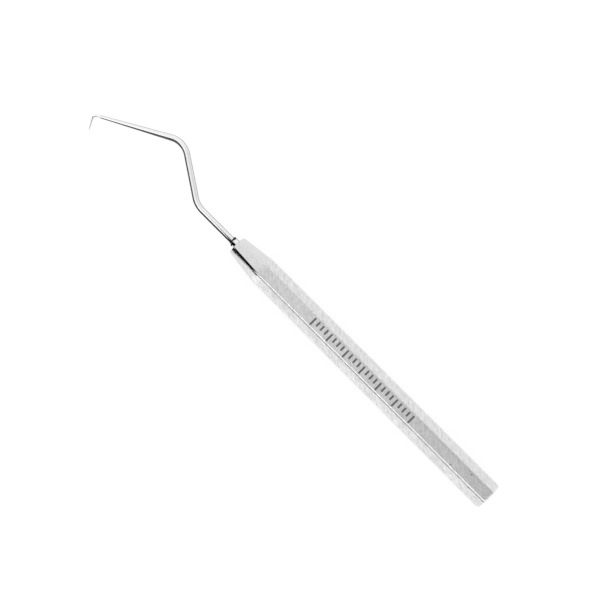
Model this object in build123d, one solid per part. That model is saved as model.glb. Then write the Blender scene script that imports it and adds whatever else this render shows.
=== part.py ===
from build123d import *
from math import cos, radians, sin, tan
import os

# Single-ended dental explorer: a hollow octagonal handle with a tapered neck, closed by a plug at the butt, and a
# bent, tapered wire with a hooked point that a ferrule holds in the neck.
#
# Sizes are in millimetres and angles in degrees. X runs along the handle towards the point, Z is up, and the handle
# lies on one of its eight flats. The origin is the middle of that flat. The wire bends in the level plane that
# holds the handle's axis, and a positive turn goes towards +Y.

# ---- handle ----
ACROSS_FLATS = 9.0
GRIP_LENGTH = 94.4  # butt face to the start of the taper
TAPER_LENGTH = 11.5
NECK_ACROSS_FLATS = 6.1
EDGE_RADIUS = 1.0  # the eight long edges of the grip
NECK_EDGE_RADIUS = 0.9  # the same edges where the taper ends
HANDLE_WALL = 0.8  # from a flat to the main bore
BORE_SHORT_OF_TAPER = 1.0
DRILL_POINT_ANGLE = 118.0
BUTT_ROUNDING = 0.65  # radius all round the butt face
NECK_ROUNDING = 0.6  # turned, so it takes most from the octagon's corners
NECK_ROUNDING_SLOPE = 25.0  # angle to the axis where it runs out

# ---- butt plug ----
PLUG_LENGTH = 5.0
PLUG_LEAD = 0.4  # chamfer on the end that goes in first
PLUG_RELIEF_DIAMETER = 4.2
PLUG_RELIEF_DEPTH = 3.4
PLUG_SEAM = 0.12  # small chamfer that marks the plug on the butt face

# ---- ferrule ----
FERRULE_WALL = 0.45
FERRULE_STAND_OUT = 1.7
FERRULE_SEATED_LENGTH = 9.0
FERRULE_RIM = 0.2  # chamfer on both ends, which leaves part of the wall as a flat face

# ---- braze between ferrule and wire ----
BRAZE_LENGTH = 0.5
BRAZE_MARGIN = 0.05  # bare rim that it leaves on the ferrule's front face
BRAZE_EDGE = 0.05  # its thickness at its front edge

# ---- wire ----
WIRE_DIAMETER = 2.0
TANG_LENGTH = 8.0  # behind the neck's face
SHANK_LENGTH = 15.2  # straight run in front of the neck's face
SHANK_BEND = (8.2, -33.3)  # centreline radius and turn
MIDDLE_LENGTH = 13.6
ARM_BEND = (7.2, 61.2)
ARM_LENGTH = 24.7
ARM_END_DIAMETER = 0.95
HOOK_BEND = (0.9, 89.2)
HOOK_BEND_END_DIAMETER = 0.6
POINT_LENGTH = 4.1
POINT_DIAMETER = 0.15

# ---- places that follow ----
AXIS_HEIGHT = ACROSS_FLATS / 2
BUTT_X = -GRIP_LENGTH / 2
TAPER_X = GRIP_LENGTH / 2
NECK_X = TAPER_X + TAPER_LENGTH
BORE_DIAMETER = ACROSS_FLATS - 2 * HANDLE_WALL
CORNER_RADIUS = ACROSS_FLATS / 2 / cos(radians(22.5))
NECK_CORNER_RADIUS = NECK_ACROSS_FLATS / 2 / cos(radians(22.5))
FERRULE_DIAMETER = WIRE_DIAMETER + 2 * FERRULE_WALL
FERRULE_FRONT_X = NECK_X + FERRULE_STAND_OUT
FERRULE_CHAMFER = min(FERRULE_RIM, 0.45 * FERRULE_WALL)


def station(x):
    """A plane across the handle's axis at x, with its normal towards the point."""
    return Plane(origin=(x, 0, AXIS_HEIGHT), x_dir=(0, 1, 0), z_dir=(1, 0, 0))


def rod(diameter, x_start, x_end):
    """A cylinder on the handle's axis."""
    return extrude(station(x_start) * Circle(diameter / 2), x_end - x_start)


def cone_between(x_start, start_diameter, x_end, end_diameter):
    """A truncated cone on the handle's axis."""
    length = x_end - x_start
    middle = station(x_start + length / 2)
    return middle * Cone(start_diameter / 2, end_diameter / 2, length)


def octagon(x, across_flats, edge_radius):
    """The handle's section at x, with a flat at the bottom."""
    outline = RegularPolygon(across_flats / 2, 8, major_radius=False, rotation=22.5)
    return station(x) * fillet(outline.vertices(), edge_radius)


def turned(profile):
    """A solid of revolution about the handle's axis, from a closed line in X and radius."""
    axis_plane = Plane(origin=(0, 0, AXIS_HEIGHT), x_dir=(1, 0, 0), z_dir=(0, -1, 0))
    axis = Axis((0, 0, AXIS_HEIGHT), (1, 0, 0))
    return revolve(axis_plane * make_face(profile), axis)


def neck_envelope():
    """What a lathe leaves at the neck's end of the octagonal bar. The butt is left as it is."""
    spare = 2.0
    outside = CORNER_RADIUS + spare
    face_radius = NECK_CORNER_RADIUS - NECK_ROUNDING
    swing = radians(90 - NECK_ROUNDING_SLOPE)
    arc_end = (
        NECK_X - NECK_ROUNDING * (1 - cos(swing)),
        face_radius + NECK_ROUNDING * sin(swing),
    )
    rounding = TangentArc((NECK_X, face_radius), arc_end, tangent=(0, 1))
    run_out = (outside - arc_end[1]) / tan(radians(NECK_ROUNDING_SLOPE))
    outline = Polyline(
        (NECK_X, face_radius),
        (NECK_X, 0),
        (BUTT_X - spare, 0),
        (BUTT_X - spare, outside),
        (arc_end[0] - run_out, outside),
        arc_end,
    )
    return turned(outline + rounding)


def make_handle():
    """Octagonal tube with a solid tapered neck, drilled from the butt and bored for the ferrule."""
    grip_section = octagon(TAPER_X, ACROSS_FLATS, EDGE_RADIUS)
    neck_section = octagon(NECK_X, NECK_ACROSS_FLATS, NECK_EDGE_RADIUS)
    grip = extrude(octagon(BUTT_X, ACROSS_FLATS, EDGE_RADIUS), GRIP_LENGTH)
    grip = fillet(grip.faces().sort_by(Axis.X)[0].edges(), BUTT_ROUNDING)
    neck = loft([grip_section, neck_section], ruled=True)
    body = (grip + neck) & neck_envelope()
    bore_end = TAPER_X - BORE_SHORT_OF_TAPER
    drill_point = (BORE_DIAMETER - FERRULE_DIAMETER) / 2 / tan(radians(DRILL_POINT_ANGLE / 2))
    body -= rod(BORE_DIAMETER, BUTT_X, bore_end)
    body -= cone_between(bore_end, BORE_DIAMETER, bore_end + drill_point, FERRULE_DIAMETER)
    body -= rod(FERRULE_DIAMETER, bore_end + drill_point, NECK_X)
    return body


def make_butt_plug():
    """Pressed into the main bore and faced off flush with the butt."""
    plug_end = BUTT_X + PLUG_LENGTH
    plug = rod(BORE_DIAMETER, BUTT_X, plug_end)
    plug = chamfer(plug.edges().sort_by(Axis.X)[-1], PLUG_LEAD)
    plug = chamfer(plug.edges().sort_by(Axis.X)[0], PLUG_SEAM)
    return plug - rod(PLUG_RELIEF_DIAMETER, plug_end - PLUG_RELIEF_DEPTH, plug_end)


def make_ferrule():
    """Sleeve between the wire and the neck's bore."""
    sleeve = rod(FERRULE_DIAMETER, NECK_X - FERRULE_SEATED_LENGTH, FERRULE_FRONT_X)
    ends = sleeve.edges().filter_by(GeomType.CIRCLE)
    sleeve = chamfer(ends, FERRULE_CHAMFER)
    return sleeve - rod(WIRE_DIAMETER, NECK_X - FERRULE_SEATED_LENGTH, FERRULE_FRONT_X)


def make_braze_fillet():
    """Ring of braze in the corner between the ferrule's front face and the wire."""
    front = FERRULE_FRONT_X + BRAZE_LENGTH
    foot_diameter = FERRULE_DIAMETER - 2 * (FERRULE_CHAMFER + BRAZE_MARGIN)
    ring = cone_between(FERRULE_FRONT_X, foot_diameter, front, WIRE_DIAMETER + 2 * BRAZE_EDGE)
    return ring - rod(WIRE_DIAMETER, FERRULE_FRONT_X, front)


def straight_run(point, heading, length):
    """A straight centreline, with the point and heading where it ends."""
    end = point + Vector(cos(radians(heading)), sin(radians(heading)), 0) * length
    return Edge.make_line(point, end), end, heading


def bent_run(point, heading, radius, turn):
    """A circular centreline, with the point and heading where it ends."""
    side = 1 if turn > 0 else -1
    normal = Vector(-sin(radians(heading)), cos(radians(heading)), 0) * side
    centre = point + normal * radius
    middle = centre + (point - centre).rotate(Axis.Z, turn / 2)
    end = centre + (point - centre).rotate(Axis.Z, turn)
    return Edge.make_three_point_arc(point, middle, end), end, heading + turn


def wire_piece(path, start_heading, end_heading, start_diameter, end_diameter):
    """One run of wire, round all along, that tapers evenly between its ends."""
    sections = []
    for where, heading, diameter in (
        (path @ 0, start_heading, start_diameter),
        (path @ 1, end_heading, end_diameter),
    ):
        along = Vector(cos(radians(heading)), sin(radians(heading)), 0)
        sections.append(Plane(origin=where, x_dir=(0, 0, 1), z_dir=along) * Circle(diameter / 2))
    return sweep(sections, path=path, multisection=True)


def make_explorer_wire():
    """Tang, shank, two bends, tapered arm, hook and point, as one bent and ground wire."""
    runs = (
        (straight_run, (TANG_LENGTH + SHANK_LENGTH,), WIRE_DIAMETER),
        (bent_run, SHANK_BEND, WIRE_DIAMETER),
        (straight_run, (MIDDLE_LENGTH,), WIRE_DIAMETER),
        (bent_run, ARM_BEND, WIRE_DIAMETER),
        (straight_run, (ARM_LENGTH,), ARM_END_DIAMETER),
        (bent_run, HOOK_BEND, HOOK_BEND_END_DIAMETER),
        (straight_run, (POINT_LENGTH,), POINT_DIAMETER),
    )
    point = Vector(NECK_X - TANG_LENGTH, 0, AXIS_HEIGHT)
    heading = 0.0
    diameter = WIRE_DIAMETER
    pieces = []
    for make_run, sizes, end_diameter in runs:
        start_heading = heading
        path, point, heading = make_run(point, heading, *sizes)
        pieces.append(wire_piece(path, start_heading, heading, diameter, end_diameter))
        diameter = end_diameter
    wire = pieces[0]
    for piece in pieces[1:]:
        wire += piece
    return wire


PARTS = {
    "handle": make_handle,
    "butt_plug": make_butt_plug,
    "ferrule": make_ferrule,
    "braze_fillet": make_braze_fillet,
    "explorer_wire": make_explorer_wire,
}

os.makedirs("parts", exist_ok=True)
for node, make in PARTS.items():
    export_step(make(), f"parts/{node}.step")
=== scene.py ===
"""The looks of a single-ended dental explorer: a satin-ground octagonal handle and a polished, hooked wire.

It is laid out as a Blender add-on and run as a script. Lengths are in metres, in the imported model's frame:
X runs along the handle towards the point, Z is up, and the handle lies on one of its flats.
"""

from math import atan2, cos, pi, radians, sin, sqrt, tan

import bmesh
import bpy
from bpy.props import FloatProperty, FloatVectorProperty, IntProperty, PointerProperty
from mathutils import Matrix, Vector


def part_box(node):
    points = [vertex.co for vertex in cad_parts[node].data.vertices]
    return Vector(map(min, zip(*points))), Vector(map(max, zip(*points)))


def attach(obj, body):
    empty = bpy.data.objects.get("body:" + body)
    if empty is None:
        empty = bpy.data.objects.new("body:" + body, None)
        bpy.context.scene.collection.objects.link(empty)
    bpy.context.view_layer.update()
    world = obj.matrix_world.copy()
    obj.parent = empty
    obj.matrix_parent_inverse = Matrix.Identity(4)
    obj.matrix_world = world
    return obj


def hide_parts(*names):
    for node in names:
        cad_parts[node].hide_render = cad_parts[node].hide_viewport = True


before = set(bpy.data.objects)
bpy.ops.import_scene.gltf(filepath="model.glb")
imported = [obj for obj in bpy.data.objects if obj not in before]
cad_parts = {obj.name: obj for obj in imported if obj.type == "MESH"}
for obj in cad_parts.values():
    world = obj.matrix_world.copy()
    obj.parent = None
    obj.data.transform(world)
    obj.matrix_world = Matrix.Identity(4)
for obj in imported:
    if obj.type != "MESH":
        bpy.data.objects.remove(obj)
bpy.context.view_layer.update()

bl_info = {
    "name": "Dental explorer",
    "version": (1, 0, 0),
    "blender": (4, 5, 0),
    "location": "View3D > Sidebar > Explorer",
    "description": "Models a dental explorer's handle, wire and fittings round its packed frame",
    "category": "Object",
}

MM = 0.001
FULL_TURN = 2 * pi
FLATS = 8
HALF_FLAT = pi / FLATS
ALONG = Vector((1, 0, 0))
UP = Vector((0, 0, 1))

HANDLE_LOW, HANDLE_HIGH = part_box("handle")
WIRE_LOW, WIRE_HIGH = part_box("explorer_wire")
FERRULE_LOW, FERRULE_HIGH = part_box("ferrule")
BRAZE_LOW, BRAZE_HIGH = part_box("braze_fillet")
PLUG_LOW, PLUG_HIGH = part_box("butt_plug")
ACROSS_FLATS = HANDLE_HIGH.z - HANDLE_LOW.z
BUTT_X = HANDLE_LOW.x
NECK_X = HANDLE_HIGH.x
AXIS_POINT = Vector((0, 0, (HANDLE_LOW.z + HANDLE_HIGH.z) / 2))
WIRE_DIAMETER = WIRE_HIGH.z - WIRE_LOW.z
FERRULE_DIAMETER = FERRULE_HIGH.z - FERRULE_LOW.z
BORE_DIAMETER = PLUG_HIGH.z - PLUG_LOW.z
# Distance between two flats in the grain map, in its millimetres.
FLAT_SPACING = 50.0
# Centre of the arcs that were ground near the butt, in the grain map's millimetres.
BUTT_ARCS = (43.0, 9.0)
# Outline of the neck's flag, past the neck's face and up from the table, in millimetres: its lower edge,
# its front edge and its back edge.
NECK_FLAG = (
    *((-9.0, 8.25), (-3.9, 7.5), (0.7, 6.6), (3.9, 5.95)),
    *((6.5, 16.5), (14.5, 36.0), (36.0, 82.0)),
    *((-3.9, 82.0), (-3.9, 14.0), (-9.0, 12.0)),
)
# Specks near the butt: from its face, to the side and below the upper flat, in millimetres.
SPECKS = ((14.6, 1.15, 0.0), (8.4, -1.05, 0.0), (6.5, 2.15, 0.28))
# Each is a low dome, 1.3 times as long as it is wide, in millimetres.
SPECK_LENGTH, SPECK_WIDTH, SPECK_HEIGHT = 0.5, 0.5 / 1.3, 0.05
# A noise's values lie mostly between these two.
NOISE_LOW, NOISE_HIGH = 0.3, 0.7
WHITE = (1, 1, 1, 1)


def length(name, description, millimetres):
    """A length that a user may change, in metres, with its default given in millimetres."""
    return FloatProperty(
        name=name, description=description, default=millimetres * MM, unit="LENGTH", precision=5
    )


def turn(name, description, angle):
    """An angle that a user may change, with its default given in degrees."""
    return FloatProperty(
        name=name, description=description, default=radians(angle), subtype="ANGLE", unit="ROTATION"
    )


def from_hex(code):
    """A linear RGB colour from an sRGB hex value."""
    channels = [int(code[i : i + 2], 16) / 255 for i in (1, 3, 5)]
    return tuple(c / 12.92 if c <= 0.04045 else ((c + 0.055) / 1.055) ** 2.4 for c in channels)


def tint(name, description, code):
    """A colour that a user may change, with its default given as an sRGB hex value."""
    return FloatVectorProperty(
        name=name, description=description, default=from_hex(code), subtype="COLOR", min=0, max=1
    )


class HandleShape(bpy.types.PropertyGroup):
    """Sizes of the octagonal handle that its box in the frame doesn't give."""

    taper_length: length("Taper length", "Neck, from the full section to its face", 11.5)
    taper_blend: length("Taper blend", "Buffed transition between grip and taper", 3.0)
    neck_across_flats: length("Neck across flats", "Octagon at the end of the taper", 6.1)
    edge_radius: length("Edge radius", "Rounding of the eight long edges", 1.0)
    butt_rounding: length("Butt rounding", "Radius all round the butt's face", 0.65)
    neck_rounding: length("Neck rounding", "Radius turned on the neck's face", 0.6)
    neck_slope: turn("Neck rounding slope", "Angle to the axis where it runs out", 25)
    bore_margin: length("Bore margin", "Main bore ends this far before the taper", 1.0)
    drill_angle: turn("Drill point", "Included angle at the main bore's end", 118)


class WireShape(bpy.types.PropertyGroup):
    """The bent wire, run by run from its hidden tang to its point."""

    tang_length: length("Tang", "Hidden run behind the neck's face", 8.0)
    shank_length: length("Shank", "Straight run in front of the neck's face", 15.2)
    shank_radius: length("Shank bend radius", "Centreline radius of the first bend", 8.2)
    shank_turn: turn("Shank bend", "Turn of the first bend", -33.3)
    middle_length: length("Middle run", "Straight run between the two bends", 13.6)
    arm_radius: length("Arm bend radius", "Centreline radius of the second bend", 7.2)
    arm_turn: turn("Arm bend", "Turn of the second bend", 61.2)
    arm_length: length("Arm", "Tapered run up to the hook", 24.7)
    arm_end_diameter: length("Arm end diameter", "Wire at the start of the hook", 0.95)
    hook_radius: length("Hook radius", "Centreline radius of the hook", 0.9)
    hook_turn: turn("Hook", "Turn of the hook", 89.2)
    hook_end_diameter: length("Hook end diameter", "Wire at the end of the hook", 0.6)
    point_length: length("Point length", "Straight run that tapers to the point", 4.1)
    point_diameter: length("Point diameter", "Wire at the very point", 0.15)
    sides: IntProperty(name="Sides", description="Faces round the wire", default=40, min=8)


class FittingShape(bpy.types.PropertyGroup):
    """Small turned parts."""

    ferrule_chamfer: length("Ferrule chamfer", "Chamfer on the ferrule's ends", 0.2)
    braze_edge: length("Braze edge", "Thickness of the braze at its front", 0.05)
    braze_drop: length("Braze drop", "Diameter of the drop at one side of the braze", 1.0)
    drop_lean: turn("Drop lean", "Of the drop to the side, from the top", 50)
    plug_seam: length("Plug seam", "Chamfer round the plug on the butt's face", 0.12)
    plug_lead: length("Plug lead", "Chamfer on the plug's inner end", 0.4)
    plug_relief: length("Plug relief", "Diameter of the hollow in the plug", 4.2)
    plug_relief_depth: length("Plug relief depth", "Depth of that hollow", 3.4)


class ScaleShape(bpy.types.PropertyGroup):
    """A plain row of laser-etched ticks on the upper flat."""

    start: length("Start", "First tick, behind the neck's face", 33.2)
    pitch: length("Pitch", "Distance from tick to tick", 1.7)
    count: IntProperty(name="Count", description="Number of ticks", default=25, min=1)
    long_every: IntProperty(name="Long every", description="Every so many is long", default=4)
    width: length("Width", "Width of a tick", 0.6)
    long_height: length("Long tick", "Across the flat", 2.8)
    short_height: length("Short tick", "Across the flat", 1.8)
    relief: length("Relief", "Height of the oxide above the flat", 0.01)
    tick_corner: length("Tick corner", "Rounding of a tick's corners", 0.18)


class Finishes(bpy.types.PropertyGroup):
    """Colours of the finishes."""

    satin: tint("Satin steel", "Ground stainless steel, on the crests of its grain", "#F1F1F1")
    groove: tint("Grain", "The same steel down in its grain", "#CCCCCC")
    polished: tint("Polished steel", "Wire, ferrule and neck", "#F4F4F4")
    # The braze is coloured nearly black: a dark ring round the wire with a drop, at the ferrule's front.
    braze: tint("Braze", "Silver braze darkened by flux", "#24211F")
    etch: tint("Etch", "Oxide left by the laser", "#4C4C50")
    floor: tint("Floor", "Plain pale table", "#FAFAF9")


class Studio(bpy.types.PropertyGroup):
    """Camera and light."""

    distance: length("Distance", "From the camera to the handle's axis", 343.6)
    aim: length("Aim", "Where on the axis the camera looks", 33.3)
    offset: length("Offset", "How far it looks to one side of the axis", -1.76)
    tilt: turn("Tilt", "Off the vertical, from the butt's side", 6.5)
    roll: turn("Roll", "Of the handle in the picture", 45.0)
    lens: FloatProperty(name="Lens", description="Focal length in mm", default=68.3, min=1)
    daylight: FloatProperty(name="Daylight", description="Brightness of the white room", default=0.96)
    table_half: length("Table", "Half of the table's side", 3000)
    table_glow: FloatProperty(name="Table glow", description="Light from below the table", default=1.09)
    table_share: FloatProperty(name="Table share", description="Of that light in what is seen", default=0.7)
    panel_height: length("Panel height", "Overhead panel above the table", 450)
    panel_left: length("Panel left edge", "Overhead panel, towards +Y", 80)
    panel_right: length("Panel right edge", "Overhead panel, towards -Y", 900)
    panel_half_length: length("Panel half length", "Overhead panel, along the handle", 400)
    dim_end: length("Panel dim end", "Where it is dimmest, along the handle", -150)
    bright_end: length("Panel bright end", "Where it is brightest, along the handle", 300)
    panel_dim: FloatProperty(name="Panel dimmest", description="Its light at that end", default=0.485)
    panel_bright: FloatProperty(name="Panel brightest", description="At the other end", default=1.03)
    panel_side: FloatProperty(name="Panel right side", description="How white it gets there", default=0.5)
    card_distance: length("Edge card distance", "Card that darkens the long edge", 250)
    card_start: length("Edge card start", "Its end past the butt", -300)
    card_end: length("Edge card end", "Its end past the wire", 400)
    card_low: length("Edge card bottom", "Its lower edge above the table", 32)
    card_high: length("Edge card top", "Its upper edge above the table", 175)
    strip_gap: length("Strip gap", "From that card to the white card behind it", 5)
    strip_high: length("Strip top", "Upper edge of the white card above the table", 700)
    strip_light: FloatProperty(name="Strip light", description="Of the white card", default=1.3)
    glow_light: FloatProperty(name="Glow light", description="Under the edge card", default=1.6)
    neck_gap: length("Neck flag gap", "From the handle's axis to the flag beside its neck", 12)
    flag_gap: length("Flag gap", "From the wire's centre to the dark flag beside it", 4)
    flag_height: length("Flag height", "Of that flag", 8)
    flag_start: length("Flag start", "Past the neck's face", 1.5)
    flag_grey: FloatProperty(name="Flag grey", description="Its light beyond the first bend", default=0.09)
    flag_fade: length("Flag fade", "From the bend to where its black or grey is full", 4)
    hook_gap: length("Hook flag gap", "From the hook to the flag in front of it", 3)
    hook_flag_length: length("Hook flag length", "Of that flag", 7)
    rim_gap: length("Rim card gap", "From the wire's centre to the grey card beside it", 3)
    rim_height: length("Rim card height", "Of that card", 5)
    rim_grey: FloatProperty(name="Rim grey", description="Light of that card", default=0.5)


class ExplorerSettings(bpy.types.PropertyGroup):
    """All sizes and colours of the explorer."""

    handle: PointerProperty(type=HandleShape)
    wire: PointerProperty(type=WireShape)
    fittings: PointerProperty(type=FittingShape)
    etched_scale: PointerProperty(type=ScaleShape)
    finishes: PointerProperty(type=Finishes)
    studio: PointerProperty(type=Studio)


# ---- mesh helpers ----


def settle(name, bm, material, smooth_angle=radians(25)):
    """Turns a finished bmesh into an object with its faces outwards and its creases kept."""
    bmesh.ops.remove_doubles(bm, verts=bm.verts, dist=1e-7)
    bmesh.ops.recalc_face_normals(bm, faces=bm.faces)
    for face in bm.faces:
        face.smooth = True
    for edge in bm.edges:
        edge.smooth = edge.is_manifold and edge.calc_face_angle(0) < smooth_angle
    mesh = bpy.data.meshes.new(name)
    bm.to_mesh(mesh)
    bm.free()
    piece = bpy.data.objects.new(name, mesh)
    bpy.context.scene.collection.objects.link(piece)
    piece.data.materials.append(material)
    weigh = piece.modifiers.new("Weighted normals", "WEIGHTED_NORMAL")
    weigh.keep_sharp = True
    weigh.weight = 80
    return piece


def turned(profile, steps=96):
    """A bmesh spun about the handle's axis from a closed profile of (x, radius) points."""
    bm = bmesh.new()
    corners = [bm.verts.new(AXIS_POINT + Vector((x, 0, radius))) for x, radius in profile]
    edges = [bm.edges.new((a, b)) for a, b in zip(corners, corners[1:] + corners[:1])]
    bmesh.ops.spin(
        bm, geom=corners + edges, cent=AXIS_POINT, axis=ALONG, angle=FULL_TURN, steps=steps, use_merge=True
    )
    bmesh.ops.remove_doubles(bm, verts=bm.verts, dist=1e-7)
    bmesh.ops.recalc_face_normals(bm, faces=bm.faces)
    return bm


def arc(centre, radius, start, end, steps):
    """Points of an arc in x and radius, with angles counted from the X axis."""
    angles = [start + (end - start) * i / steps for i in range(steps + 1)]
    return [(centre[0] + radius * cos(a), centre[1] + radius * sin(a)) for a in angles]


def helper_object(bm, name):
    """A working object for a boolean, which is removed again."""
    mesh = bpy.data.meshes.new(name)
    bm.to_mesh(mesh)
    bm.free()
    helper = bpy.data.objects.new(name, mesh)
    bpy.context.scene.collection.objects.link(helper)
    return helper


def cut(bm, tool, operation):
    """The bmesh that a boolean with another one leaves. Both are used up."""
    body = helper_object(bm, "cut_body")
    cutter = helper_object(tool, "cut_tool")
    change = body.modifiers.new("Cut", "BOOLEAN")
    change.operation = operation
    change.solver = "EXACT"
    change.object = cutter
    result = bmesh.new()
    result.from_object(body, bpy.context.evaluated_depsgraph_get())
    for helper in (body, cutter):
        mesh = helper.data
        bpy.data.objects.remove(helper)
        bpy.data.meshes.remove(mesh)
    return result


def extrude_ring(bm, ring, move):
    """Extrudes an open ring of edges and places its copy with a matrix. Returns the new ring."""
    made = bmesh.ops.extrude_edge_only(bm, edges=ring)["geom"]
    corners = [g for g in made if isinstance(g, bmesh.types.BMVert)]
    bmesh.ops.transform(bm, matrix=move, verts=corners)
    return [g for g in made if isinstance(g, bmesh.types.BMEdge) and all(v in corners for v in g.verts)]


def scaled_about(centre, factor):
    """A matrix that scales about a point."""
    return Matrix.Translation(centre) @ Matrix.Scale(factor, 4) @ Matrix.Translation(-centre)


def turned_about(centre, angle):
    """A matrix that turns about an upright axis through a point."""
    return Matrix.Translation(centre) @ Matrix.Rotation(angle, 4, UP) @ Matrix.Translation(-centre)


# ---- handle ----


def across_flats_at(x, shape):
    """The octagon's size at x: rounded off at the butt, full, then a buffed start to an even taper."""
    taper_x = NECK_X - shape.taper_length
    slope = (ACROSS_FLATS - shape.neck_across_flats) / shape.taper_length
    half_blend = shape.taper_blend / 2
    past = x - taper_x
    short = max(0.0, BUTT_X + shape.butt_rounding - x)
    if short:
        return ACROSS_FLATS - 2 * (shape.butt_rounding - sqrt(shape.butt_rounding**2 - short**2))
    if past <= -half_blend:
        return ACROSS_FLATS
    if past >= half_blend:
        return ACROSS_FLATS - slope * past
    return ACROSS_FLATS - slope * (past + half_blend) ** 2 / (2 * shape.taper_blend)


def octagonal_bar(shape):
    """Bar with rounded long edges, a rounded butt and a taper, before it is turned and bored."""
    taper_x = NECK_X - shape.taper_length
    steps = 8
    swings = [pi / 2 * i / steps for i in range(steps + 1)]
    stations = [BUTT_X + shape.butt_rounding * (1 - cos(a)) for a in swings]
    stations += [taper_x + shape.taper_blend * (i / steps - 0.5) for i in range(steps + 1)]
    stations.append(NECK_X)
    bm = bmesh.new()
    corner_radius = across_flats_at(BUTT_X, shape) / 2 / cos(HALF_FLAT)
    place = Matrix.Translation(AXIS_POINT + ALONG * BUTT_X)
    place = place @ Matrix.Rotation(pi / 2, 4, "Y") @ Matrix.Rotation(HALF_FLAT, 4, "Z")
    bmesh.ops.create_circle(bm, segments=FLATS, radius=corner_radius, matrix=place)
    ring = bm.edges[:]
    for before, after in zip(stations, stations[1:]):
        centre = AXIS_POINT + ALONG * before
        factor = across_flats_at(after, shape) / across_flats_at(before, shape)
        move = Matrix.Translation(ALONG * (after - before)) @ scaled_about(centre, factor)
        ring = extrude_ring(bm, ring, move)
    ring_thickness = 0.001 * MM
    long_edges = [e for e in bm.edges if abs(e.verts[0].co.x - e.verts[1].co.x) > ring_thickness]
    # A bevel's offset runs along the faces from the edge, so it is this share of the radius.
    offset = shape.edge_radius * tan(HALF_FLAT)
    bmesh.ops.bevel(
        bm,
        geom=long_edges,
        offset=offset,
        offset_type="OFFSET",
        affect="EDGES",
        segments=6,
        profile=0.5,
        material=-1,
    )
    bmesh.ops.holes_fill(bm, edges=bm.edges, sides=0)
    bmesh.ops.recalc_face_normals(bm, faces=bm.faces)
    return bm


def neck_envelope(shape):
    """What a lathe leaves of the bar at its neck."""
    neck_corner = shape.neck_across_flats / 2 / cos(HALF_FLAT)
    outside = ACROSS_FLATS
    past = 2 * MM
    behind = BUTT_X - past
    face = neck_corner - shape.neck_rounding
    centre = (NECK_X - shape.neck_rounding, face)
    rounding = arc(centre, shape.neck_rounding, pi / 2 - shape.neck_slope, 0, 10)
    run_out = (outside - rounding[0][1]) / tan(shape.neck_slope)
    profile = [(behind, 0.0), (behind, outside), (rounding[0][0] - run_out, outside)]
    return turned(profile + rounding + [(NECK_X, 0.0)], steps=192)


def bore_tool(shape):
    """The drilled main bore and the ferrule's seat, as a solid to cut with."""
    bore_end = NECK_X - shape.taper_length - shape.bore_margin
    bore = BORE_DIAMETER / 2
    seat = FERRULE_DIAMETER / 2
    cone = (bore - seat) / tan(shape.drill_angle / 2)
    past = 1 * MM
    profile = [(BUTT_X - past, 0.0), (BUTT_X - past, bore), (bore_end, bore)]
    profile += [(bore_end + cone, seat), (NECK_X + past, seat), (NECK_X + past, 0.0)]
    return turned(profile)


def make_handle_mesh(shape):
    """Bar stock, turned at the neck and bored through."""
    body = cut(octagonal_bar(shape), neck_envelope(shape), "INTERSECT")
    return cut(body, bore_tool(shape), "DIFFERENCE")


# ---- wire ----


def make_wire_mesh(shape):
    """One ring extruded and turned along the wire's route, thinner as it goes."""
    radius = WIRE_DIAMETER / 2
    centre = AXIS_POINT + ALONG * (NECK_X - shape.tang_length)
    heading = 0.0
    bm = bmesh.new()
    place = Matrix.Translation(centre) @ Matrix.Rotation(pi / 2, 4, "Y")
    bmesh.ops.create_circle(bm, cap_ends=True, segments=shape.sides, radius=radius, matrix=place)
    ring = bm.edges[:]
    arm_end = shape.arm_end_diameter / 2
    hook_end = shape.hook_end_diameter / 2
    runs = (
        (shape.tang_length + shape.shank_length, 0.0, radius, 24),
        (shape.shank_radius, shape.shank_turn, radius, 20),
        (shape.middle_length, 0.0, radius, 12),
        (shape.arm_radius, shape.arm_turn, radius, 36),
        (shape.arm_length, 0.0, arm_end, 30),
        (shape.hook_radius, shape.hook_turn, hook_end, 24),
        (shape.point_length, 0.0, shape.point_diameter / 2, 12),
    )
    for size, angle, end_radius, steps in runs:
        start_radius = radius
        for step in range(1, steps + 1):
            next_radius = start_radius + (end_radius - start_radius) * step / steps
            factor = next_radius / radius
            forward = Vector((cos(heading), sin(heading), 0))
            if angle:
                side = Vector((-forward.y, forward.x, 0)) * (1 if angle > 0 else -1)
                move = turned_about(centre + side * size, angle / steps)
                heading += angle / steps
            else:
                move = Matrix.Translation(forward * size / steps)
            ring = extrude_ring(bm, ring, move @ scaled_about(centre, factor))
            centre = move @ centre
            radius = next_radius
    # The very point is a small dome.
    forward = Vector((cos(heading), sin(heading), 0))
    dome = radius
    latitudes = [radians(a) for a in (0, 30, 60, 85)]
    for low, high in zip(latitudes, latitudes[1:]):
        move = Matrix.Translation(forward * dome * (sin(high) - sin(low)))
        ring = extrude_ring(bm, ring, move @ scaled_about(centre, cos(high) / cos(low)))
        centre = move @ centre
    bmesh.ops.contextual_create(bm, geom=ring)
    return bm


# ---- small turned parts ----


def make_ferrule_mesh(shape):
    """Sleeve with chamfered ends."""
    outer = FERRULE_DIAMETER / 2
    inner = WIRE_DIAMETER / 2
    rim = shape.ferrule_chamfer
    back, front = FERRULE_LOW.x, FERRULE_HIGH.x
    profile = [(back, inner), (back, outer - rim), (back + rim, outer)]
    profile += [(front - rim, outer), (front, outer - rim), (front, inner)]
    return turned(profile)


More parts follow.
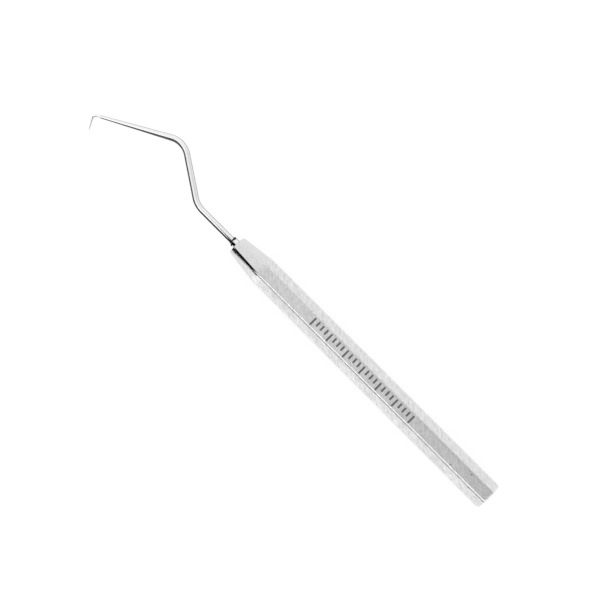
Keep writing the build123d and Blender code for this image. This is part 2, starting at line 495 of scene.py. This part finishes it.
def make_braze_mesh(shape):
    """Concave ring in the corner between the ferrule's face and the wire, with a drop of it at one side."""
    inner = WIRE_DIAMETER / 2
    foot = (BRAZE_HIGH.z - BRAZE_LOW.z) / 2
    back, front = BRAZE_LOW.x, BRAZE_HIGH.x
    edge = inner + shape.braze_edge
    hollow = 0.35
    middle = (back + hollow * (front - back), edge + hollow * (foot - edge))
    ring = turned([(back, inner), (back, foot), middle, (front, edge), (front, inner)])
    # The drop is a nearly black lump of the same braze at one side.
    drop = bmesh.new()
    lean = shape.drop_lean
    centre = AXIS_POINT + Vector((back + (front - back) / 3, -foot * sin(lean), foot * cos(lean)))
    bmesh.ops.create_uvsphere(
        drop, u_segments=24, v_segments=16, radius=shape.braze_drop / 2, matrix=Matrix.Translation(centre)
    )
    return cut(ring, drop, "UNION")


def make_plug_mesh(shape):
    """Plug with a hollow inner end, flush with the butt."""
    outer = BORE_DIAMETER / 2
    back, front = PLUG_LOW.x, PLUG_HIGH.x
    hollow = shape.plug_relief / 2
    floor = front - shape.plug_relief_depth
    profile = [(back, 0.0), (back, outer - shape.plug_seam), (back + shape.plug_seam, outer)]
    profile += [(front - shape.plug_lead, outer), (front, outer - shape.plug_lead)]
    profile += [(front, hollow), (floor, hollow), (floor, 0.0)]
    return turned(profile)


def make_scale_mesh(shape):
    """Ticks with rounded ends, as thin plates of oxide on the upper flat."""
    bm = bmesh.new()
    foot = -shape.long_height / 2
    sunk = HANDLE_HIGH.z - shape.relief
    for i in range(shape.count):
        height = shape.short_height if i % shape.long_every else shape.long_height
        centre = Vector((NECK_X - shape.start - i * shape.pitch, foot + height / 2, sunk))
        place = Matrix.Translation(centre) @ Matrix.Diagonal((shape.width, height, 1, 1))
        bmesh.ops.create_grid(bm, x_segments=1, y_segments=1, size=0.5, matrix=place)
    bmesh.ops.bevel(
        bm,
        geom=bm.verts[:],
        offset=shape.tick_corner,
        offset_type="OFFSET",
        affect="VERTICES",
        segments=4,
        profile=0.5,
        material=-1,
    )
    raised = bmesh.ops.extrude_face_region(bm, geom=bm.faces[:], use_keep_orig=True)["geom"]
    corners = [g for g in raised if isinstance(g, bmesh.types.BMVert)]
    bmesh.ops.translate(bm, vec=UP * shape.relief * 2, verts=corners)
    return bm


def make_specks_mesh():
    """Low dark domes on the upper flat near the butt."""
    bm = bmesh.new()
    for past, side, below in SPECKS:
        centre = Vector((BUTT_X + past * MM, side * MM, HANDLE_HIGH.z - below * MM))
        shape = Matrix.Diagonal((SPECK_LENGTH / 2, SPECK_WIDTH / 2, SPECK_HEIGHT, 1))
        place = Matrix.Translation(centre) @ Matrix.Scale(MM, 4) @ shape
        bmesh.ops.create_icosphere(bm, subdivisions=3, radius=1.0, matrix=place)
    return bm


# ---- finishes ----


def lay_grain(piece):
    """Gives a ground bar a UV map in millimetres, along it and across each flat, for its grain."""
    grain = piece.data.uv_layers.new(name="grain")
    for face in piece.data.polygons:
        flat = round(atan2(face.normal.y, face.normal.z) / FULL_TURN * FLATS) % FLATS
        angle = flat * FULL_TURN / FLATS
        across = Vector((0, cos(angle), -sin(angle)))
        for corner in face.loop_indices:
            point = piece.data.vertices[piece.data.loops[corner].vertex_index].co - AXIS_POINT
            if abs(face.normal.x) > 0.9:
                # End faces lie past the neck in the map, where it is buffed, and near a flat's middle.
                grain.data[corner].uv = (point.y / MM + 3 * FLAT_SPACING, point.z / MM / 4)
            else:
                grain.data[corner].uv = (point.x / MM, point.dot(across) / MM + flat * FLAT_SPACING)


def add_node(tree, kind, inputs=None, **settings):
    """Adds a node with its settings. Inputs, by name or number, are given a value or another node's output.

    A mix has its factor at 0, its numbers at 2 and 3, and its colours at 6 and 7. A map range has its value
    at 0, the range that it reads at 1 and 2, and the range that it gives at 3 and 4.
    """
    made = tree.nodes.new(kind)
    for name, value in settings.items():
        setattr(made, name, value)
    for socket, value in (inputs or {}).items():
        if isinstance(value, bpy.types.NodeSocket):
            tree.links.new(value, made.inputs[socket])
        else:
            made.inputs[socket].default_value = value
    return made


def blank_material(name):
    """A material with an empty node tree, and that tree."""
    material = bpy.data.materials.new(name)
    material.use_nodes = True
    material.node_tree.nodes.clear()
    return material, material.node_tree


def finish(make, *colours):
    """A finish's material, made once and shared by its pieces. It has the name of its function."""
    return bpy.data.materials.get(make.__name__) or make(*colours)


def scratches(tree, map_node, angle, spacing, run, seed):
    """Long thin noise for grinding marks: spacing and run are in the map's own millimetres."""
    place = add_node(
        tree,
        "ShaderNodeMapping",
        {0: map_node.outputs[0], "Location": (seed, seed, 0), "Rotation": (0, 0, angle)},
    )
    narrow = add_node(
        tree, "ShaderNodeMapping", {0: place.outputs[0], "Scale": (1 / run, 1 / spacing, 1)}
    )
    return add_node(
        tree,
        "ShaderNodeTexNoise",
        {0: narrow.outputs[0], "Scale": 1.0, "Detail": 2.0, "Roughness": 0.6},
        noise_dimensions="2D",
    )


def satin_ground_stainless_steel(satin, groove):
    """Stainless bar, ground on a belt across its flats and buffed at the neck.

    It gives a soft sheen with faint slanting lines, arcs towards the butt, and a sharper, brighter taper.
    """
    material, tree = blank_material("satin_ground_stainless_steel")
    ground_rough = {3: 0.335, 4: 0.26}
    buffed_rough, edge_rough, neck_edge_rough = 0.09, 0.12, 0.04
    grain = add_node(tree, "ShaderNodeUVMap", uv_map="grain")
    along = add_node(tree, "ShaderNodeSeparateXYZ", {0: grain.outputs[0]})
    # Belt marks are about 0.1 mm apart. They are drawn 0.35 and 0.55 mm apart, as fine as shows.
    coarse = scratches(tree, grain, radians(47), 0.55, 2.6, 3.0)
    fine = scratches(tree, grain, radians(-40), 0.35, 1.6, 11.0)
    # Clouds 9 mm across are where the belt pressed harder.
    clouds = add_node(
        tree,
        "ShaderNodeTexNoise",
        {0: grain.outputs[0], "Scale": 1 / 9, "Detail": 2.0},
        noise_dimensions="2D",
    )
    # Arcs 0.9 mm apart are where the bar was swung against the wheel, near the butt.
    swing = add_node(tree, "ShaderNodeMapping", {0: grain.outputs[0], "Location": (*BUTT_ARCS, 0)})
    arcs = add_node(
        tree,
        "ShaderNodeTexWave",
        {0: swing.outputs[0], "Scale": 0.36, "Distortion": 9.0, "Detail": 3.0, "Detail Scale": 1.2},
        wave_type="RINGS",
        rings_direction="Z",
    )
    arcs_fade, arcs_end = BUTT_X / MM + 12, BUTT_X / MM + 32
    near_butt = add_node(
        tree, "ShaderNodeMapRange", {0: along.outputs[0], 1: arcs_fade, 2: arcs_end, 3: 0.22, 4: 0.0}
    )
    lines = add_node(tree, "ShaderNodeMix", {0: 0.4, 2: coarse.outputs[0], 3: fine.outputs[0]})
    height = add_node(
        tree, "ShaderNodeMix", {0: near_butt.outputs[0], 2: lines.outputs[0], 3: arcs.outputs["Fac"]}
    )
    # The buffing fades out behind the taper.
    buffing_fades, buffing_full = NECK_X / MM - 15, NECK_X / MM - 9
    buffed = add_node(
        tree,
        "ShaderNodeMapRange",
        {0: along.outputs[0], 1: buffing_fades, 2: buffing_full},
        interpolation_type="SMOOTHSTEP",
    )
    # Buffing leaves only faint marks, so they get a narrow band of heights.
    faint = add_node(
        tree, "ShaderNodeMapRange", {0: lines.outputs[0], 1: NOISE_LOW, 2: NOISE_HIGH, 3: 0.38, 4: 0.54}
    )
    marked = add_node(
        tree, "ShaderNodeMix", {0: buffed.outputs[0], 2: height.outputs[0], 3: faint.outputs[0]}
    )
    depth = add_node(tree, "ShaderNodeMapRange", {0: marked.outputs[0], 1: NOISE_LOW, 2: NOISE_HIGH})
    colour = add_node(
        tree,
        "ShaderNodeMix",
        {0: depth.outputs[0], 6: (*groove, 1), 7: (*satin, 1)},
        data_type="RGBA",
    )
    worn = add_node(tree, "ShaderNodeMix", {0: 0.5, 2: clouds.outputs[0], 3: height.outputs[0]})
    ground = add_node(
        tree, "ShaderNodeMapRange", {0: worn.outputs[0], 1: NOISE_LOW, 2: NOISE_HIGH, **ground_rough}
    )
    flats = add_node(tree, "ShaderNodeMix", {0: buffed.outputs[0], 2: ground.outputs[0], 3: buffed_rough})
    # The long edges, 1.45 mm from a flat's middle, are broken with a finer belt, so they shine more.
    half_pitch = FLAT_SPACING / 2
    across = add_node(
        tree, "ShaderNodeMath", {0: along.outputs[1], 1: half_pitch, 2: -half_pitch}, operation="WRAP"
    )
    off_middle = add_node(tree, "ShaderNodeMath", {0: across.outputs[0]}, operation="ABSOLUTE")
    edge = add_node(tree, "ShaderNodeMapRange", {0: off_middle.outputs[0], 1: 1.35, 2: 1.6})
    broken = add_node(tree, "ShaderNodeMix", {0: buffed.outputs[0], 2: edge_rough, 3: neck_edge_rough})
    rough = add_node(tree, "ShaderNodeMix", {0: edge.outputs[0], 2: flats.outputs[0], 3: broken.outputs[0]})
    bump = add_node(
        tree, "ShaderNodeBump", {"Height": marked.outputs[0], "Strength": 0.8, "Distance": 0.03 * MM}
    )
    shader = add_node(
        tree,
        "ShaderNodeBsdfPrincipled",
        {
            "Base Color": colour.outputs[2],
            "Metallic": 1.0,
            "Roughness": rough.outputs[0],
            "Normal": bump.outputs[0],
        },
    )
    add_node(tree, "ShaderNodeOutputMaterial", {"Surface": shader.outputs[0]})
    return material


def polished_stainless_wire(colour):
    """Hardened stainless wire, ground to its taper and polished: sharp reflections with a slight haze."""
    material, tree = blank_material("polished_stainless_wire")
    place = add_node(tree, "ShaderNodeTexCoord")
    # Patches of haze 1.2 mm across are left by the polishing wheel.
    haze = add_node(
        tree, "ShaderNodeTexNoise", {0: place.outputs["Object"], "Scale": 1 / (1.2 * MM), "Detail": 3.0}
    )
    rough = add_node(
        tree, "ShaderNodeMapRange", {0: haze.outputs[0], 1: NOISE_LOW, 2: NOISE_HIGH, 3: 0.05, 4: 0.16}
    )
    bump = add_node(
        tree, "ShaderNodeBump", {"Height": haze.outputs[0], "Strength": 0.3, "Distance": 0.01 * MM}
    )
    shader = add_node(
        tree,
        "ShaderNodeBsdfPrincipled",
        {
            "Base Color": (*colour, 1),
            "Metallic": 1.0,
            "Roughness": rough.outputs[0],
            "Normal": bump.outputs[0],
        },
    )
    add_node(tree, "ShaderNodeOutputMaterial", {"Surface": shader.outputs[0]})
    return material


def near_black_silver_braze(colour):
    """Silver braze coloured nearly black: dull and uneven."""
    material, tree = blank_material("near_black_silver_braze")
    place = add_node(tree, "ShaderNodeTexCoord")
    # Crusts of flux 0.3 mm across.
    crust = add_node(
        tree, "ShaderNodeTexNoise", {0: place.outputs["Object"], "Scale": 1 / (0.3 * MM), "Detail": 3.0}
    )
    rough = add_node(
        tree, "ShaderNodeMapRange", {0: crust.outputs[0], 1: NOISE_LOW, 2: NOISE_HIGH, 3: 0.4, 4: 0.7}
    )
    bump = add_node(
        tree, "ShaderNodeBump", {"Height": crust.outputs[0], "Strength": 0.6, "Distance": 0.03 * MM}
    )
    shader = add_node(
        tree,
        "ShaderNodeBsdfPrincipled",
        {
            "Base Color": (*colour, 1),
            "Metallic": 0.0,
            "Roughness": rough.outputs[0],
            "Normal": bump.outputs[0],
        },
    )
    add_node(tree, "ShaderNodeOutputMaterial", {"Surface": shader.outputs[0]})
    return material


def laser_etched_oxide(colour):
    """Black oxide that a laser leaves on stainless steel: matt, with the speckle of its dots."""
    material, tree = blank_material("laser_etched_oxide")
    place = add_node(tree, "ShaderNodeTexCoord")
    # The laser's dots are 0.05 mm apart. They are drawn 0.25 mm apart, as fine as shows.
    dots = add_node(
        tree, "ShaderNodeTexNoise", {0: place.outputs["Object"], "Scale": 1 / (0.25 * MM), "Detail": 1.0}
    )
    between_dots = 1.9
    lighter = [between_dots * c for c in colour]
    shade = add_node(
        tree,
        "ShaderNodeMix",
        {0: dots.outputs[0], 6: (*colour, 1), 7: (*lighter, 1)},
        data_type="RGBA",
    )
    shader = add_node(
        tree,
        "ShaderNodeBsdfPrincipled",
        {"Base Color": shade.outputs[2], "Metallic": 0.0, "Roughness": 0.6},
    )
    add_node(tree, "ShaderNodeOutputMaterial", {"Surface": shader.outputs[0]})
    return material


def backlit_white_table(studio, colour):
    """Matt white table lit from below, so that a thing on it casts only a faint shadow."""
    material, tree = blank_material("backlit_white_table")
    paint = add_node(tree, "ShaderNodeBsdfDiffuse", {0: (*colour, 1)})
    glow = add_node(tree, "ShaderNodeEmission", {0: WHITE, 1: studio.table_glow})
    mix = add_node(
        tree, "ShaderNodeMixShader", {0: studio.table_share, 1: paint.outputs[0], 2: glow.outputs[0]}
    )
    add_node(tree, "ShaderNodeOutputMaterial", {"Surface": mix.outputs[0]})
    return material


def even_light(name, level):
    """A card's light, the same all over."""
    material, tree = blank_material(name)
    light = add_node(tree, "ShaderNodeEmission", {0: WHITE, 1: level})
    add_node(tree, "ShaderNodeOutputMaterial", {"Surface": light.outputs[0]})
    return material


def graded_light(name, start, end, dim, bright, right=0.0, whitened=0.0):
    """Light that grows along X from one brightness to another, and whitens towards -Y, if at all."""
    material, tree = blank_material(name)
    place = add_node(tree, "ShaderNodeTexCoord")
    axes = add_node(tree, "ShaderNodeSeparateXYZ", {0: place.outputs["Object"]})
    level = add_node(tree, "ShaderNodeMapRange", {0: axes.outputs[0], 1: start, 2: end, 3: dim, 4: bright})
    if whitened:
        share = {0: axes.outputs[1], 1: 0.0, 2: -right, 3: 0.0, 4: whitened}
        aside = add_node(tree, "ShaderNodeMapRange", share)
        level = add_node(tree, "ShaderNodeMix", {0: aside.outputs[0], 2: level.outputs[0], 3: 1.0})
    light = add_node(tree, "ShaderNodeEmission", {0: WHITE, 1: level.outputs[0]})
    add_node(tree, "ShaderNodeOutputMaterial", {"Surface": light.outputs[0]})
    return material


# ---- stage ----


def stage_piece(name, bm, material, only_reflected):
    """A thing of the stage. A card is seen only in what the steel reflects."""
    mesh = bpy.data.meshes.new(name)
    bm.to_mesh(mesh)
    bm.free()
    made = bpy.data.objects.new(name, mesh)
    bpy.context.scene.collection.objects.link(made)
    mesh.materials.append(material)
    if only_reflected:
        made.visible_camera = False
        made.visible_diffuse = False
        made.visible_shadow = False
        made.visible_transmission = False
    return made


def upright_card(name, corners, height, material):
    """A card that stands on a chain of points."""
    bm = bmesh.new()
    verts = [bm.verts.new(c) for c in corners]
    edges = [bm.edges.new(pair) for pair in zip(verts, verts[1:])]
    made = bmesh.ops.extrude_edge_only(bm, edges=edges)["geom"]
    raised = [g for g in made if isinstance(g, bmesh.types.BMVert)]
    bmesh.ops.translate(bm, vec=UP * height, verts=raised)
    return stage_piece(name, bm, material, only_reflected=True)


def wire_route(shape):
    """Corners of the wire's centreline from the neck's face to its hook, with each run's heading."""
    shank_end = shape.shank_length + shape.shank_radius * tan(-shape.shank_turn / 2)
    arm_tangent = shape.arm_radius * tan(shape.arm_turn / 2)
    middle = shape.shank_radius * tan(-shape.shank_turn / 2) + shape.middle_length + arm_tangent
    arm = arm_tangent + shape.arm_length
    headings = (0.0, shape.shank_turn, shape.shank_turn + shape.arm_turn)
    corners = [AXIS_POINT + ALONG * NECK_X]
    for size, heading in zip((shank_end, middle, arm), headings):
        corners.append(corners[-1] + size * Vector((cos(heading), sin(heading), 0)))
    return corners, headings


def beside_wire(shape, gap, start):
    """Points on the table that follow the wire to one side of it, from a start past the neck's face."""
    corners, headings = wire_route(shape)
    corners[0] = corners[0] + ALONG * start
    points = []
    for corner, heading in zip(corners, (headings[0], *headings)):
        side = Vector((-sin(heading), cos(heading), 0))
        points.append(corner + side * gap - UP * corner.z)
    return points


def make_wire_flags(studio, shape):
    """Dark flags and a grey card along the wire, which give it its lines."""
    dark = beside_wire(shape, studio.flag_gap, studio.flag_start)
    bend, fade = dark[1].x, studio.flag_fade
    shaded = graded_light("grey_flag", bend - fade, bend + fade, 0.0, studio.flag_grey)
    upright_card("wire_flag", dark, studio.flag_height, shaded)
    grey = even_light("rim_grey", studio.rim_grey)
    upright_card("rim_card", beside_wire(shape, -studio.rim_gap, 0), studio.rim_height, grey)
    corners, headings = wire_route(shape)
    hook = headings[-1] + shape.hook_turn
    outside = corners[-1] + studio.hook_gap * Vector((sin(hook), -cos(hook), 0))
    past = outside + studio.hook_flag_length * Vector((cos(hook), sin(hook), 0))
    feet = [point - UP * point.z for point in (outside, past)]
    upright_card("hook_flag", feet, studio.flag_height, even_light("black_hook_flag", 0.0))


def make_side_cards(studio):
    """Black, white and bright cards beside the handle, which give its long edge and its neck their lines."""
    black = even_light("black_flag", 0.0)
    start = Vector((studio.card_start, studio.card_distance, 0))
    end = Vector((studio.card_end, studio.card_distance, 0))
    lift = UP * studio.card_low
    upright_card("edge_card", [start + lift, end + lift], studio.card_high - studio.card_low, black)
    back = Vector((0, studio.strip_gap, 0))
    white = even_light("white_strip", studio.strip_light)
    upright_card("strip_card", [start + back, end + back], studio.strip_high, white)
    upright_card("glow_card", [start, end], studio.card_low, even_light("low_glow", studio.glow_light))
    bm = bmesh.new()
    bm.faces.new([bm.verts.new((NECK_X + x * MM, studio.neck_gap, z * MM)) for x, z in NECK_FLAG])
    stage_piece("neck_flag", bm, black, only_reflected=True)


def make_panel(studio):
    """Overhead panel: dimmer over the butt, where it turns the upper flat grey, and white to one side."""
    light = graded_light(
        "graded_panel",
        start=studio.dim_end,
        end=studio.bright_end,
        dim=studio.panel_dim,
        bright=studio.panel_bright,
        right=studio.panel_right,
        whitened=studio.panel_side,
    )
    half_width = (studio.panel_left + studio.panel_right) / 2
    centre = Vector((0, studio.panel_left - half_width, studio.panel_height))
    place = Matrix.Translation(centre) @ Matrix.Diagonal((studio.panel_half_length, half_width, 1, 1))
    bm = bmesh.new()
    bmesh.ops.create_grid(bm, x_segments=1, y_segments=1, size=1.0, matrix=place)
    stage_piece("overhead_panel", bm, light, only_reflected=True)


def make_camera(studio):
    """Camera almost overhead, turned so that the handle slants across the picture."""
    target = AXIS_POINT + Vector((studio.aim, studio.offset, 0))
    forward = Vector((sin(studio.tilt), 0, -cos(studio.tilt)))
    across = Vector((cos(studio.tilt), 0, sin(studio.tilt)))
    side = Vector((0, 1, 0))
    right = -cos(studio.roll) * across - sin(studio.roll) * side
    up = sin(studio.roll) * across - cos(studio.roll) * side
    data = bpy.data.cameras.new("camera")
    data.lens = studio.lens
    data.clip_start = 1 * MM
    camera = bpy.data.objects.new("camera", data)
    bpy.context.scene.collection.objects.link(camera)
    facing = Matrix((right, up, -forward)).transposed().to_4x4()
    camera.matrix_world = Matrix.Translation(target - forward * studio.distance) @ facing
    bpy.context.scene.camera = camera


# ---- operators ----


def settings():
    """The sizes and colours of this file."""
    return bpy.context.scene.explorer


def place_piece(piece, slot, *nodes):
    """Rides a piece on the model, in place of its CAD nodes where it has any."""
    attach(piece, "root")
    if nodes:
        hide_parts(*nodes)


class EXPLORER_OT_stage(bpy.types.Operator):
    """Set up the table, the light and the camera"""

    bl_idname = "explorer.stage"
    bl_label = "Stage"

    def execute(self, context):
        studio = settings().studio
        context.scene.view_settings.view_transform = "Standard"
        table = bmesh.new()
        bmesh.ops.create_grid(table, x_segments=1, y_segments=1, size=studio.table_half)
        white = backlit_white_table(studio, settings().finishes.floor)
        stage_piece("table", table, white, only_reflected=False)
        world = bpy.data.worlds.new("white_room")
        world.use_nodes = True
        background = world.node_tree.nodes["Background"]
        background.inputs["Color"].default_value = WHITE
        background.inputs["Strength"].default_value = studio.daylight
        context.scene.world = world
        make_panel(studio)
        make_wire_flags(studio, settings().wire)
        make_side_cards(studio)
        make_camera(studio)
        return {"FINISHED"}


class EXPLORER_OT_handle(bpy.types.Operator):
    """Model the octagonal handle with its tapered neck and bore"""

    bl_idname = "explorer.handle"
    bl_label = "Handle"

    def execute(self, context):
        steel = finish(satin_ground_stainless_steel, settings().finishes.satin, settings().finishes.groove)
        handle = settle("octagonal_handle", make_handle_mesh(settings().handle), steel)
        lay_grain(handle)
        place_piece(handle, "satin_handle", "handle")
        return {"FINISHED"}


class EXPLORER_OT_plug(bpy.types.Operator):
    """Model the plug that closes the handle at its butt"""

    bl_idname = "explorer.plug"
    bl_label = "Butt plug"

    def execute(self, context):
        steel = finish(satin_ground_stainless_steel, settings().finishes.satin, settings().finishes.groove)
        plug = settle("flush_butt_plug", make_plug_mesh(settings().fittings), steel)
        lay_grain(plug)
        place_piece(plug, "satin_plug", "butt_plug")
        return {"FINISHED"}


class EXPLORER_OT_wire(bpy.types.Operator):
    """Model the bent and tapered wire with its hook"""

    bl_idname = "explorer.wire"
    bl_label = "Wire"

    def execute(self, context):
        steel = finish(polished_stainless_wire, settings().finishes.polished)
        wire = settle("bent_wire", make_wire_mesh(settings().wire), steel, smooth_angle=radians(50))
        place_piece(wire, "polished_wire", "explorer_wire")
        return {"FINISHED"}


class EXPLORER_OT_ferrule(bpy.types.Operator):
    """Model the ferrule that holds the wire in the neck"""

    bl_idname = "explorer.ferrule"
    bl_label = "Ferrule"

    def execute(self, context):
        steel = finish(polished_stainless_wire, settings().finishes.polished)
        ferrule = settle("neck_ferrule", make_ferrule_mesh(settings().fittings), steel)
        place_piece(ferrule, "polished_ferrule", "ferrule")
        return {"FINISHED"}


class EXPLORER_OT_braze(bpy.types.Operator):
    """Model the braze between the ferrule and the wire"""

    bl_idname = "explorer.braze"
    bl_label = "Braze"

    def execute(self, context):
        alloy = finish(near_black_silver_braze, settings().finishes.braze)
        braze = settle("braze_ring", make_braze_mesh(settings().fittings), alloy)
        place_piece(braze, "silver_braze", "braze_fillet")
        return {"FINISHED"}


class EXPLORER_OT_ticks(bpy.types.Operator):
    """Model the row of etched ticks on the upper flat"""

    bl_idname = "explorer.ticks"
    bl_label = "Etched ticks"

    def execute(self, context):
        oxide = finish(laser_etched_oxide, settings().finishes.etch)
        ticks = settle("etched_scale", make_scale_mesh(settings().etched_scale), oxide)
        place_piece(ticks, "satin_handle")
        return {"FINISHED"}


class EXPLORER_OT_specks(bpy.types.Operator):
    """Model the dark specks near the butt"""

    bl_idname = "explorer.specks"
    bl_label = "Specks"

    def execute(self, context):
        # The specks take the dark colour of the etched ticks.
        oxide = finish(laser_etched_oxide, settings().finishes.etch)
        specks = settle("butt_specks", make_specks_mesh(), oxide)
        place_piece(specks, "satin_handle")
        return {"FINISHED"}


class EXPLORER_PT_steps(bpy.types.Panel):
    """Lists the steps in the sidebar"""

    bl_label = "Dental explorer"
    bl_space_type = "VIEW_3D"
    bl_region_type = "UI"
    bl_category = "Explorer"

    def draw(self, context):
        for step in STEPS:
            self.layout.operator(step.bl_idname)


STEPS = (
    EXPLORER_OT_stage,
    EXPLORER_OT_handle,
    EXPLORER_OT_plug,
    EXPLORER_OT_wire,
    EXPLORER_OT_ferrule,
    EXPLORER_OT_braze,
    EXPLORER_OT_ticks,
    EXPLORER_OT_specks,
)
GROUPS = (HandleShape, WireShape, FittingShape, ScaleShape, Finishes, Studio, ExplorerSettings)


def register():
    for made in (*GROUPS, *STEPS, EXPLORER_PT_steps):
        bpy.utils.register_class(made)
    bpy.types.Scene.explorer = PointerProperty(type=ExplorerSettings)


def unregister():
    del bpy.types.Scene.explorer
    for made in (EXPLORER_PT_steps, *reversed(STEPS), *reversed(GROUPS)):
        bpy.utils.unregister_class(made)


def main():
    """Makes every piece in turn."""
    register()
    bpy.ops.explorer.stage()
    bpy.ops.explorer.handle()
    bpy.ops.explorer.plug()
    bpy.ops.explorer.wire()
    bpy.ops.explorer.ferrule()
    bpy.ops.explorer.braze()
    bpy.ops.explorer.ticks()
    bpy.ops.explorer.specks()


if __name__ == "__main__":
    main()
